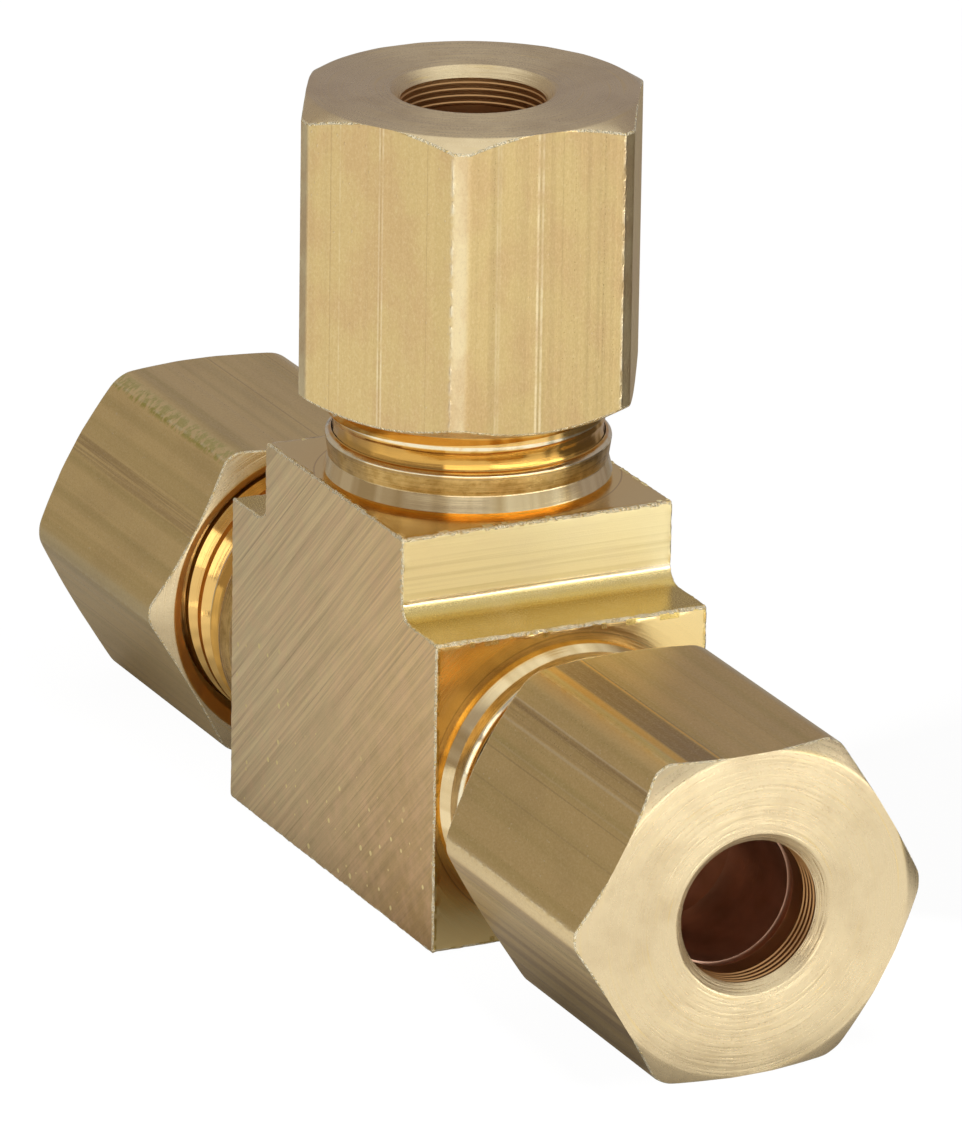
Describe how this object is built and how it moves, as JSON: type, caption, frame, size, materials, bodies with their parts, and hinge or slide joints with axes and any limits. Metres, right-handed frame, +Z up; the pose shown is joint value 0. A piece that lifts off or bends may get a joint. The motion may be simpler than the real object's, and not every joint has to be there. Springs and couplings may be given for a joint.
{
  "type": "compression union tee",
  "caption": "Brass compression tee: a sawn block with two ports in line and one at right angles, each with a hexagon nut and a sealing sleeve for small tube.",
  "frame": {"origin": "on the surface that the tee rests on, straight below the point where the three port axes cross", "axes": "+X along the run towards the right port, +Z up along the branch, Y across the body, along its extrusion"},
  "size_m": [0.0442, 0.0126, 0.0274],
  "materials": {
    "brass_body": "sawn and machined",
    "brass_nut": "drawn bar with turned ends",
    "brass_sleeve": "turned"
  },
  "bodies": {
    "tee": {"tee_body": "brass_body"},
    "right_sleeve": {"right_sleeve": "brass_sleeve"},
    "right_nut": {"right_nut": "brass_nut"},
    "left_sleeve": {"left_sleeve": "brass_sleeve"},
    "left_nut": {"left_nut": "brass_nut"},
    "branch_sleeve": {"branch_sleeve": "brass_sleeve"},
    "branch_nut": {"branch_nut": "brass_nut"}
  },
  "joints": [
    {"name": "right_sleeve_travel", "type": "slide", "parent": "tee", "child": "right_sleeve", "axis": [1, 0, 0], "range_m": [-0.0011, 0.0043]},
    {"name": "right_nut_turn", "type": "hinge", "parent": "right_sleeve", "child": "right_nut", "pos_m": [0.01128, 0, 0.0056], "axis": [1, 0, 0], "range_deg": [-373, 1462]},
    {"name": "left_sleeve_travel", "type": "slide", "parent": "tee", "child": "left_sleeve", "axis": [-1, 0, 0], "range_m": [-0.00176, 0.00364]},
    {"name": "left_nut_turn", "type": "hinge", "parent": "left_sleeve", "child": "left_nut", "pos_m": [-0.01193, 0, 0.0056], "axis": [-1, 0, 0], "range_deg": [-598, 1237]},
    {"name": "branch_sleeve_travel", "type": "slide", "parent": "tee", "child": "branch_sleeve", "axis": [0, 0, 1], "range_m": [-0.00102, 0.00438]},
    {"name": "branch_nut_turn", "type": "hinge", "parent": "branch_sleeve", "child": "branch_nut", "pos_m": [0, 0, 0.01695], "axis": [0, 0, 1], "range_deg": [-346, 1489]}
  ],
  "couplings": [
    {"joint": "right_sleeve_travel", "follows": "right_nut_turn", "m_per_rad": 0.00016843},
    {"joint": "left_sleeve_travel", "follows": "left_nut_turn", "m_per_rad": 0.00016843},
    {"joint": "branch_sleeve_travel", "follows": "branch_nut_turn", "m_per_rad": 0.00016843}
  ]
}
